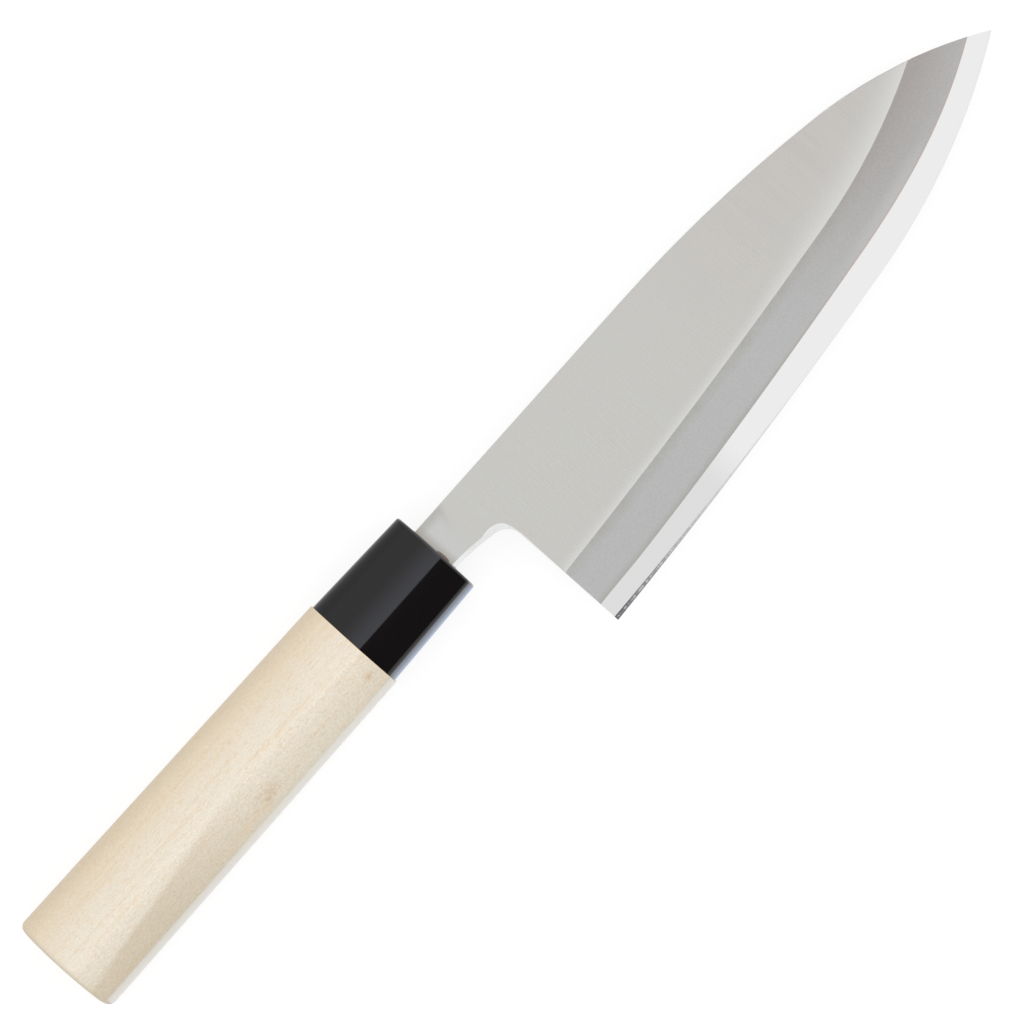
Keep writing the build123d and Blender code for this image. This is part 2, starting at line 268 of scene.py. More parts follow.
class DebaColours(PropertyGroup):
    """Colours of the knife's finishes"""

    satin: colour("Satin flat", "#C8C8C4", "Brushed cladding between the spine and the bevel")
    satin_streak: colour("Satin streaks", "#CAC6C2", "Warmer streaks that the belt left")
    satin_warm: colour("Satin flat towards the tip", "#C3BFBC", "Where the brushed flat is warmer")
    # Painted highlight: the flat is lighter by the line, where its rolled surface catches the light
    satin_highlight_tone: colour("Satin flat by the line", "#D7D7D5", "Where the buff brightened the flat")
    neck: colour("Polished neck", "#C8C8C7", "Buffed neck of the blade")
    # Painted shade: the neck is darker where it rounds over to the spine
    neck_painted_shade: colour("Neck by the spine", "#B7B7B3", "Where the neck turns over to the spine")
    neck_stain: colour("Stained neck", "#A8A39B", "Neck dulled by the resin at the ferrule")
    strip: colour("Neck bevel", "#E8E8E9", "Filed and polished bevel under the neck")
    spine: colour("Spine", "#C9C9C6", "Ground spine, heel and choil")
    spine_round: colour("Rounded spine edge", "#DCDCDA", "Rounded and polished front edge of the spine")
    blasted: colour("Blasted bevel", "#C3C3C3", "Bead-blasted cladding")
    blasted_dark: colour("Blasted bevel by the line", "#B9B8B4", "Where the blasting bit deeper")
    blasted_tip: colour("Blasted bevel at the tip", "#B0ABA8", "Warmer and darker towards the tip")
    weld: colour("Weld line", "#CBAE9F", "Thin warm line where the cladding meets the steel")
    weld_heel: colour("Weld line at the heel", "#B0AFA9", "Wider, darker line by the steel near the heel")
    steel: colour("Cutting steel", "#ECECEC", "Polished cutting steel")
    steel_heel: colour("Cutting steel at the heel", "#DDDEDD", "Cutting steel near the heel")
    koba: colour("Edge bevel", "#EAEAEA", "Narrow ground bevel along the edge")
    # Painted dark reflection: the edge bevel is darker towards the heel
    koba_painted_dark: colour("Edge bevel at the heel", "#57575F", "Coarser and darker ground bevel at the heel")
    back_rim: colour("Back rim", "#D9DADA", "Flat rim round the hollow, polished on a stone")
    plastic: colour("Ferrule", "#141213", "Black moulded plastic")
    # Painted highlight: the face above the ferrule's ridge is lighter and bluish
    plastic_painted_highlight: colour("Haze on the ferrule", "#2D2E34", "Bluish haze beside the ridge")
    plastic_flank: colour("Haze on the flank", "#9DB6E0", "Bluish haze that shows at a glancing look")
    # Painted highlight: the ferrule's rounded front rim is grey
    plastic_rim_highlight: colour("Haze on the rim", "#57575C", "Grey haze on the ferrule's rounded front rim")
    wood: colour("Wood", "#E3DACA", "Sanded magnolia")
    # Painted shade: the wood is warmer and darker towards the spine side
    wood_spine_painted_shade: colour("Wood, spine side", "#D9C4A2", "Warmer wood towards the spine side")
    # Painted highlight: the steep flank on the edge side is nearly white
    flank_painted_highlight: colour("Wood, steep flank", "#ECEBE5", "Nearly white wood that lay right under the bark")
    streak: colour("Wood streaks", "#DBBF96", "Warmer growth streaks and flecks")
    # Painted shade: the wood is greyer towards the edge side
    wood_edge_painted_shade: colour("Wood, edge side", "#D6CDBA", "Greyer wood towards the edge side")
    shade: colour("Wood, edge side at the butt", "#BFAE92", "Browner wood near the butt")
    smear: colour("Wood smears", "#BD9E74", "Brown smears that handling left")
    end_grain: colour("End grain", "#D2C4A8", "Butt, where the grain is cut across")
    joint: colour("Wood at the joint", "#EFD3B0", "Sanded bevel of the wood beside the ferrule")
    resin: colour("Mouth resin", "#7C6855", "Brown resin around the neck")
    bedding: colour("Bedding resin", "#B09468", "Resin around the tang")


GROUPS = {
    "deba_handle": DebaHandleSizes,
    "deba_mouth": DebaMouthSizes,
    "deba_blade": DebaBladeSizes,
    "deba_colours": DebaColours,
}


def bearing(point, centre):
    """Direction from the centre to a point: 0 to the front, a quarter turn to the spine side."""
    return atan2(point[1] - centre[1], point[2] - centre[2])


def spin_arc(mesh, vert, centre, end_bearing, steps):
    """Spins a vertex about a line along X until it has the bearing, and returns the last vertex."""
    turn = bearing(vert.co, centre) - end_bearing
    arc = bmesh.ops.spin(
        mesh,
        geom=[vert],
        cent=centre,
        axis=(1, 0, 0),
        dvec=(0, 0, 0),
        angle=(turn + radians(180)) % radians(360) - radians(180),
        steps=steps,
        use_merge=False,
        use_duplicate=False,
    )
    return [item for item in arc["geom_last"] if isinstance(item, bmesh.types.BMVert)][0]


def draw_out(mesh, vert, step):
    """Extrudes a vertex by a step and returns the new one."""
    new = bmesh.ops.extrude_vert_indiv(mesh, verts=[vert])["verts"][0]
    new.co += Vector(step)
    return new


def new_edges(mesh, known):
    """Edges that the mesh has gained."""
    return [edge for edge in mesh.edges if edge not in known]


def closed_ring(mesh, known):
    """Edges gained since then, once the ring's ends are merged."""
    verts = list({vert for edge in new_edges(mesh, known) for vert in edge.verts})
    bmesh.ops.remove_doubles(mesh, verts=verts, dist=MERGE_DISTANCE)
    return new_edges(mesh, known)


def chestnut_ring(mesh, handle, x, growth, ridge_round):
    """Chestnut outline across the handle, spun from the ridge all the way round."""
    half = SECTION_HEIGHT / 2
    ridge = Vector((x, -handle.ridge_drop, handle.axis_height + handle.ridge_depth))
    upper_out = Vector((0, sin(handle.upper_slope), cos(handle.upper_slope)))
    lower_out = Vector((0, -sin(handle.lower_slope), cos(handle.lower_slope)))
    upper_centre = ridge - upper_out * handle.upper_face
    lower_centre = ridge - lower_out * handle.lower_face

    # Corner between the upper face and the spine side
    upper_span = handle.upper_face - handle.upper_corner
    upper_slope = asin((half - handle.upper_corner - upper_centre.y) / upper_span)
    upper_corner = upper_centre + Vector((0, sin(upper_slope), cos(upper_slope))) * upper_span

    # Corner between the lower face and the steep flank on the edge side
    lower_span = handle.lower_face - handle.lower_corner
    flank_span = handle.edge_flank - handle.lower_corner
    flank_y = handle.edge_flank - half
    lower_slope = asin((lower_centre.y - flank_y + sin(handle.flank_slope) * flank_span) / lower_span)
    lower_corner = lower_centre + Vector((0, -sin(lower_slope), cos(lower_slope))) * lower_span
    flank_centre = Vector((x, flank_y, lower_corner.z - cos(handle.flank_slope) * flank_span))

    # Back, whose corner on the edge side has the radius that joins the flank to it
    back_span = handle.back_face - handle.back_corner
    back_y = half - handle.back_corner
    back_slope = asin(back_y / back_span)
    level = upper_corner.z - handle.side_flat
    back_centre = Vector((x, 0, level + back_span * cos(back_slope)))
    rise = back_centre.z - flank_centre.z
    edge_corner = (handle.back_face**2 - half**2 - rise**2) / (2 * (handle.back_face - half))
    edge_slope = atan2(half - edge_corner, rise)

    # Rounding of the ridge, which touches both front faces
    upper_reach = handle.upper_face + growth - ridge_round
    lower_reach = handle.lower_face + growth - ridge_round
    apart = lower_centre - upper_centre
    along = (apart.length_squared + upper_reach**2 - lower_reach**2) / (2 * apart.length)
    outward = Vector((0, -apart.z, apart.y)).normalized()
    ridge_centre = upper_centre + apart.normalized() * along + outward * sqrt(upper_reach**2 - along**2)
    lower_touch = bearing(ridge_centre, lower_centre)
    upper_touch = bearing(ridge_centre, upper_centre)

    known = set(mesh.edges)
    start = ridge_centre + Vector((0, sin(lower_touch), cos(lower_touch))) * ridge_round
    vert = mesh.verts.new(start)
    vert = spin_arc(mesh, vert, ridge_centre, upper_touch, RIDGE_STEPS)
    vert = spin_arc(mesh, vert, upper_centre, upper_slope, UPPER_FACE_STEPS)
    vert = spin_arc(mesh, vert, upper_corner, radians(90), UPPER_CORNER_STEPS)
    vert = draw_out(mesh, vert, (0, 0, level - upper_corner.z))
    vert = spin_arc(mesh, vert, (x, back_y, level), radians(180) - back_slope, BACK_STEPS)
    vert = spin_arc(mesh, vert, back_centre, radians(180) + edge_slope, BACK_STEPS)
    vert = spin_arc(mesh, vert, (x, edge_corner - half, flank_centre.z), radians(270), BACK_STEPS)
    vert = spin_arc(mesh, vert, flank_centre, -handle.flank_slope, FLANK_STEPS)
    vert = spin_arc(mesh, vert, lower_corner, -lower_slope, LOWER_CORNER_STEPS)
    spin_arc(mesh, vert, lower_centre, lower_touch, LOWER_FACE_STEPS)
    return closed_ring(mesh, known)


def slot_ring(mesh, centre, height, thickness, corner):
    """Rectangle with rounded corners across X, with as many edges as the chestnut ring."""
    y = height / 2 - corner
    z = thickness / 2 - corner
    known = set(mesh.edges)
    vert = mesh.verts.new(centre + Vector((0, -y, z + corner)))
    for quarter in range(4):
        heading = radians(90 * quarter)
        along = Vector((0, cos(heading), -sin(heading)))
        inward = Vector((0, -sin(heading), -cos(heading)))
        run, steps = (2 * z, SLOT_WIDTH_STEPS) if quarter % 2 else (2 * y, SLOT_HEIGHT_STEPS)
        for _ in range(steps):
            vert = draw_out(mesh, vert, along * run / steps)
        corner_centre = vert.co + inward * corner
        vert = spin_arc(mesh, vert, corner_centre, heading + radians(90), SLOT_CORNER_STEPS)
    return closed_ring(mesh, known)


def bridge(mesh, first, second, cuts=0):
    """Joins two rings with faces and cuts the new faces across."""
    known = set(mesh.edges)
    bmesh.ops.bridge_loops(mesh, edges=list(first) + list(second))
    if cuts:
        bmesh.ops.subdivide_edges(mesh, edges=new_edges(mesh, known), cuts=cuts, use_grid_fill=True)


def ring_verts(edges):
    """Vertices of a ring of edges."""
    return list({vert for edge in edges for vert in edge.verts})


def crown(verts, axis_height, apex, radius, facing):
    """Moves the vertices along X onto a ball whose outermost point is the apex."""
    for vert in verts:
        off_axis = Vector((0, vert.co.y, vert.co.z - axis_height)).length
        vert.co.x = apex - facing * (radius - sqrt(radius**2 - off_axis**2))


def bevel(mesh, edges, width, segments):
    """Rounds edges with a circular profile."""
    bmesh.ops.bevel(
        mesh,
        geom=edges,
        offset=width,
        offset_type="OFFSET",
        affect="EDGES",
        segments=segments,
        profile=0.5,
        material=-1,
        clamp_overlap=True,
    )


def finished_piece(mesh, name, material, node):
    """Moves the mesh to its place and makes it the piece that stands for the CAD node."""
    bmesh.ops.recalc_face_normals(mesh, faces=mesh.faces)
    bmesh.ops.translate(mesh, verts=mesh.verts, vec=KNIFE_ORIGIN)
    data = bpy.data.meshes.new(name)
    mesh.to_mesh(data)
    mesh.free()
    data.shade_smooth()
    data.set_sharp_from_angle(angle=SHARP_ANGLE)
    data.materials.append(material)
    piece = bpy.data.objects.new(name, data)
    bpy.context.scene.collection.objects.link(piece)
    weighted = piece.modifiers.new("Even shading", "WEIGHTED_NORMAL")
    weighted.keep_sharp = True
    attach(piece, BODY)
    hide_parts(node)
    return piece


def ferrule_growth(handle, x):
    """How much larger the ferrule's section is at a place than at its rear end."""
    slope = (SECTION_HEIGHT - handle.ferrule_front) / FERRULE_LENGTH
    return (handle.ferrule_front - x * slope - SECTION_HEIGHT) / 2


def neck_centre(handle, mouth, x):
    """Middle of the neck's section."""
    return Vector((x, mouth.neck_top - mouth.neck_height / 2, handle.axis_height))


def ferrule_mesh(handle, mouth):
    """Ferrule with its crowned front wall, the slot for the neck and the open pocket."""
    mesh = bmesh.new()
    wall = handle.ferrule_wall
    inner_x = -handle.front_wall
    slot_height = mouth.neck_height + 2 * mouth.clearance
    slot_width = mouth.blade_thickness + 2 * mouth.clearance
    ridge = handle.ferrule_ridge
    rear = chestnut_ring(mesh, handle, -FERRULE_LENGTH, 0, ridge)
    front = chestnut_ring(mesh, handle, 0, ferrule_growth(handle, 0), ridge)
    front_middle = neck_centre(handle, mouth, 0)
    inner_middle = neck_centre(handle, mouth, inner_x)
    front_slot = slot_ring(mesh, front_middle, slot_height, slot_width, mouth.corner)
    inner_slot = slot_ring(mesh, inner_middle, slot_height, slot_width, mouth.corner)
    pocket_front = chestnut_ring(mesh, handle, inner_x, ferrule_growth(handle, inner_x) - wall, ridge)
    pocket_rear = chestnut_ring(mesh, handle, -FERRULE_LENGTH, -wall, ridge)
    bridge(mesh, front, front_slot, cuts=3)
    face = [vert for vert in mesh.verts if vert.co.x > inner_x / 2]
    crown(face, handle.axis_height, handle.ferrule_apex, handle.ferrule_crown, 1)
    bridge(mesh, rear, front, cuts=7)
    bridge(mesh, front_slot, inner_slot)
    bridge(mesh, inner_slot, pocket_front)
    bridge(mesh, pocket_front, pocket_rear, cuts=3)
    bridge(mesh, pocket_rear, rear)
    bevel(mesh, front, handle.ferrule_round, segments=6)
    return mesh


def grip_mesh(handle, mouth):
    """Wooden grip with its crowned butt, its tenon and the hole for the tang."""
    mesh = bmesh.new()
    front_x = -FERRULE_LENGTH
    tenon_x = -handle.front_wall - handle.tenon_gap
    inset = handle.ferrule_wall + handle.tenon_fit
    room = 2 * mouth.hole_room
    hole_end = -mouth.tang_length - mouth.hole_spare
    butt_growth = (BUTT_HEIGHT - SECTION_HEIGHT) / 2
    shoulder_growth = (handle.grip_front - SECTION_HEIGHT) / 2
    butt = chestnut_ring(mesh, handle, -HANDLE_LENGTH, butt_growth, handle.grip_ridge + butt_growth)
    shoulder = chestnut_ring(mesh, handle, front_x, shoulder_growth, handle.grip_ridge + shoulder_growth)
    tenon_ridge = handle.ferrule_ridge
    tenon_root = chestnut_ring(mesh, handle, front_x, -inset, tenon_ridge)
    tenon_growth = ferrule_growth(handle, tenon_x) - inset
    tenon_end = chestnut_ring(mesh, handle, tenon_x, tenon_growth, tenon_ridge)
    hole_height = mouth.neck_height + room
    hole_width = mouth.blade_thickness + room
    mouth_middle = neck_centre(handle, mouth, tenon_x)
    hole_mouth = slot_ring(mesh, mouth_middle, hole_height, hole_width, mouth.corner)
    bottom = Vector((hole_end, 0, handle.axis_height))
    hole_bottom = slot_ring(mesh, bottom, mouth.tang_end + room, mouth.tang_thin + room, mouth.corner)
    ring = butt
    middle = Vector((-HANDLE_LENGTH, 0, handle.axis_height))
    for closer in BUTT_RINGS:
        grown = bmesh.ops.extrude_edge_only(mesh, edges=ring)["geom"]
        ring = [item for item in grown if isinstance(item, bmesh.types.BMEdge) and not item.link_faces[1:]]
        bmesh.ops.scale(
            mesh,
            vec=(1, closer, closer),
            space=Matrix.Translation(-middle),
            verts=ring_verts(ring),
        )
    bmesh.ops.pointmerge(mesh, verts=ring_verts(ring), merge_co=middle)
    face = [vert for vert in mesh.verts if vert.co.x < -HANDLE_LENGTH + handle.butt_round]
    crown(face, handle.axis_height, -HANDLE_LENGTH, handle.butt_crown, -1)
    bridge(mesh, butt, shoulder, cuts=15)
    bridge(mesh, shoulder, tenon_root)
    bridge(mesh, tenon_root, tenon_end, cuts=2)
    bridge(mesh, tenon_end, hole_mouth)
    bridge(mesh, hole_mouth, hole_bottom, cuts=2)
    bmesh.ops.edgeloop_fill(mesh, edges=hole_bottom)
    bevel(mesh, butt, handle.butt_round, segments=8)
    bevel(mesh, shoulder, handle.grip_bevel, segments=3)
    return mesh


def seal_mesh(handle, mouth):
    """Resin round the neck in the ferrule's slot, with the bead that was squeezed out."""
    mesh = bmesh.new()
    inner_x = -handle.front_wall
    outer_height = mouth.neck_height + 2 * mouth.clearance
    outer_width = mouth.blade_thickness + 2 * mouth.clearance
    rings = []
    for x, height, width in (
        (inner_x, outer_height, outer_width),
        (0, outer_height, outer_width),
        (0, mouth.neck_height, mouth.blade_thickness),
        (inner_x, mouth.neck_height, mouth.blade_thickness),
    ):
        rings.append(slot_ring(mesh, neck_centre(handle, mouth, x), height, width, mouth.corner / 2))
    width = mouth.neck_bevel_width
    depth = mouth.neck_bevel_depth
    bevel_middle = neck_centre(handle, mouth, 0)
    bevel_middle += Vector((0, (width - mouth.neck_height) / 2, (mouth.blade_thickness - depth) / 2))
    bevel_facing = Vector((0, -depth, width)).normalized()
    for vert in ring_verts(rings[2]):
        outside = (vert.co - bevel_middle).dot(bevel_facing)
        vert.co -= bevel_facing * max(outside, 0)
    bridge(mesh, rings[1], rings[2], cuts=2)
    front = [vert for vert in mesh.verts if vert.co.x > inner_x / 2]
    crown(front, handle.axis_height, handle.ferrule_apex + mouth.proud / 3, handle.ferrule_crown, 1)
    edges = ring_verts(rings[1]) + ring_verts(rings[2])
    between = [vert for vert in front if vert not in edges]
    bmesh.ops.translate(mesh, verts=between, vec=(mouth.proud * 2 / 3, 0, 0))
    bridge(mesh, rings[0], rings[1], cuts=1)
    bridge(mesh, rings[2], rings[3], cuts=1)
    bridge(mesh, rings[3], rings[0])
    place = Matrix.Translation((handle.ferrule_apex, -mouth.bead_drop, mouth.blade_thickness))
    shape = Matrix.Diagonal((mouth.bead_proud, mouth.bead_half, mouth.bead_height, 1))
    bmesh.ops.create_uvsphere(mesh, u_segments=28, v_segments=18, radius=1, matrix=place @ shape)
    return mesh


def add_node(tree, kind, settings, inputs):
    """Adds a node with its settings, and fills its inputs with values, nodes or their outputs.

    A settings text is the operation. The inputs go by name, or in a row in the order of the
    sockets in use. For a Map Range the row is the value, the two ends of its range and what comes
    out at each of them.
    """
    if isinstance(settings, str):
        settings = {"operation": settings}
    node = tree.nodes.new("ShaderNode" + kind)
    for name, value in settings.items():
        setattr(node, name, value)
    if isinstance(inputs, dict):
        pairs = [(node.inputs[name], value) for name, value in inputs.items()]
    else:
        pairs = list(zip([socket for socket in node.inputs if socket.enabled], inputs))
    for socket, value in pairs:
        if isinstance(value, bpy.types.Node):
            value = next(output for output in value.outputs if output.enabled)
        if isinstance(value, bpy.types.NodeSocket):
            tree.links.new(value, socket)
        else:
            socket.default_value = value
    return node


def empty_tree(owner):
    """Node tree of a material or a world, without its first nodes."""
    owner.use_nodes = True
    owner.node_tree.nodes.clear()
    return owner.node_tree


def start_finish(name):
    """New material, its node tree, and the place on the knife, in millimetres in the knife frame."""
    material = bpy.data.materials.new(name)
    tree = empty_tree(material)
    origin = -KNIFE_ORIGIN / MILLIMETRE
    metres = add_node(tree, "TexCoord", {}, {}).outputs["Object"]
    place = add_node(
        tree, "Mapping", {},
        {"Vector": metres, "Location": origin, "Scale": (1 / MILLIMETRE,) * 3},
    )
    return material, tree, place


def finish_surface(tree, look, relief, strength, depth):
    """Ends a material: its relief, its shader with the look, and its output."""
    height = {"Height": relief, "Strength": strength, "Distance": depth * MILLIMETRE}
    bump = add_node(tree, "Bump", {}, height)
    shader = add_node(tree, "BsdfPrincipled", {}, {**look, "Normal": bump})
    add_node(tree, "OutputMaterial", {}, {"Surface": shader})


def facing_parts(tree):
    """How far the surface faces the tip, the spine and the front."""
    surface = add_node(tree, "NewGeometry", {}, {})
    return add_node(tree, "SeparateXYZ", {}, (surface.outputs["True Normal"],)).outputs


def drawn_out(tree, place, lean, stretch, look):
    """Noise drawn out one way, as tools, growth and fibres leave their marks."""
    stretched = add_node(tree, "Mapping", {}, {"Vector": place, "Rotation": (0, 0, lean), "Scale": stretch})
    return add_node(tree, "TexNoise", {}, {"Vector": stretched, "Scale": 1, **look})


def mottled(tree, tone, pattern, low, high, darkest, lightest):
    """Colour made darker and lighter where the pattern is low and high."""
    shade = add_node(tree, "MapRange", {}, (pattern, low, high, darkest, lightest))
    return add_node(tree, "VectorMath", "SCALE", (tone, shade))


def arc_centre(touch, direction, through):
    """Centre of the arc that leaves one point in a direction and passes through another."""
    inward = Vector((-direction.y, direction.x))
    span = through - touch
    return touch + inward * (span.length_squared / (2 * span.dot(inward)))


def bevel_arcs(blade):
    """Where the wide bevel runs out: the belly, its direction and both arcs, in millimetres."""
    reach = blade.blade_length / MILLIMETRE
    heel_x = blade.neck_length + blade.heel_lean
    heel = Vector((heel_x, blade.spine_height - blade.heel_height)) / MILLIMETRE
    tip = Vector((heel.x + reach, (blade.spine_height - blade.tip_drop) / MILLIMETRE))
    step = Vector((reach * blade.belly_reach, (tip.y - heel.y) * blade.belly_rise))
    belly = heel + step
    slope = atan2(step.y, step.x) * blade.belly_slope
    direction = Vector((cos(slope), sin(slope)))
    arcs = []
    run_outs = ((heel, blade.heel_run_out), (tip, blade.tip_run_out))
    rear_centre = arc_centre(belly, direction, heel)
    out = (belly - rear_centre).normalized() * blade.belly_run_out / MILLIMETRE
    for end, run_out in run_outs:
        edge_centre = arc_centre(belly, direction, end)
        end_out = end + (end - edge_centre).normalized() * run_out / MILLIMETRE
        centre = arc_centre(belly + out, direction, end_out)
        arcs.append((centre, (belly + out - centre).length))
    return belly, direction, arcs


def inside_distance(tree, place, blade):
    """Distance from the wide bevel's run-out line into the blade, in millimetres."""
    belly, direction, arcs = bevel_arcs(blade)
    level = add_node(tree, "VectorMath", "MULTIPLY", (place, (1, 1, 0)))
    inside = []
    for centre, radius in arcs:
        span = add_node(tree, "VectorMath", "DISTANCE", (level, (centre.x, centre.y, 0)))
        inside.append(add_node(tree, "Math", "SUBTRACT", (radius, span)))
    along = add_node(tree, "VectorMath", "DOT_PRODUCT", (level, (direction.x, direction.y, 0)))
    ahead = add_node(tree, "Math", "GREATER_THAN", (along, belly.dot(direction)))
    return add_node(tree, "Mix", BLEND_VALUES, (ahead, inside[0], inside[1]))


def wide_bevel(tree, colours, blade, place, x):
    """Colour, roughness and relief of the wide bevel, and the height over its top line."""
    inside = inside_distance(tree, place, blade)
    above_line = add_node(tree, "Math", "SUBTRACT", (inside, blade.bevel_width / MILLIMETRE))

    # The blasted steel looks evenly frosted: beads of 0.1 mm pit it, drawn 0.5 mm wide to show
    beads = add_node(tree, "TexNoise", {}, {"Vector": place, "Scale": 1.9, "Detail": 3, "Roughness": 0.7})
    patches = add_node(tree, "TexNoise", {}, {"Vector": place, "Scale": 0.2, "Detail": 2, "Roughness": 0.5})
    under_line = add_node(tree, "MapRange", SMOOTH, (above_line, -3.5, -0.2, 0, 1.5))
    deeper = add_node(tree, "Math", "MULTIPLY", (under_line, patches))
    blasted = add_node(tree, "Mix", BLEND_COLOURS, (deeper, colours.blasted, colours.blasted_dark))
    tip_share = add_node(tree, "MapRange", SMOOTH, (x, 85, 172, 0, 0.95))
    up_share = add_node(tree, "MapRange", {}, (above_line, -12, -0.5, 0.3, 1.2))
    tip_tone = add_node(tree, "Math", "MULTIPLY", (tip_share, up_share))
    blasted = add_node(tree, "Mix", BLEND_COLOURS, (tip_tone, blasted, colours.blasted_tip))
    blasted = mottled(tree, blasted, beads, 0.25, 0.75, 0.92, 1.08)

    # Forging leaves the weld wavy: it lies higher by the belly and lower at the tip
    past_weld = inside
    for operation, *stretch in WELD_WAVES:
        wave = add_node(tree, "MapRange", SMOOTH, (x, *stretch))
        past_weld = add_node(tree, "Math", operation, (past_weld, wave))

    # The felt wheel that polished the steel also lightened the cladding beside it by the belly
    felt_starts = add_node(tree, "MapRange", SMOOTH, (x, 100, 132, 0, 0.3))
    felt_ends = add_node(tree, "MapRange", SMOOTH, (x, 138, 158, 1, 0))
    felted = add_node(tree, "MapRange", SMOOTH, (past_weld, 1, 4, felt_starts, 0))
    felted = add_node(tree, "Math", "MULTIPLY", (felted, felt_ends))
    blasted = add_node(tree, "Mix", BLEND_COLOURS, (felted, blasted, colours.satin_highlight_tone))

    # Carbon that wandered into the cladding at the weld leaves a line, dark and wide by the heel
    weld_width = add_node(tree, "MapRange", {}, (x, 70, 110, 1.6, 0.4))
    by_weld = add_node(tree, "MapRange", {}, (past_weld, 0, weld_width, 0.7, 0))
    weld_turns = add_node(tree, "MapRange", SMOOTH, (x, 75, 125, 0, 1))
    weld = add_node(tree, "Mix", BLEND_COLOURS, (weld_turns, colours.weld_heel, colours.weld))
    blasted = add_node(tree, "Mix", BLEND_COLOURS, (by_weld, blasted, weld))

    # The band of core steel is nearly a mirror, lighter from the middle on
    past_heel = add_node(tree, "MapRange", SMOOTH, (x, 55, 68, 0, 1))
    core = add_node(tree, "Mix", BLEND_COLOURS, (past_heel, colours.steel_heel, colours.steel))

    clad = add_node(tree, "Math", "GREATER_THAN", (past_weld, 0))
    finish = add_node(tree, "Mix", BLEND_COLOURS, (clad, core, blasted))
    gloss = add_node(tree, "Mix", BLEND_VALUES, (clad, 0.12, 0.46))
    relief = add_node(tree, "Math", "MULTIPLY", (clad, beads))
    return finish, gloss, relief, above_line


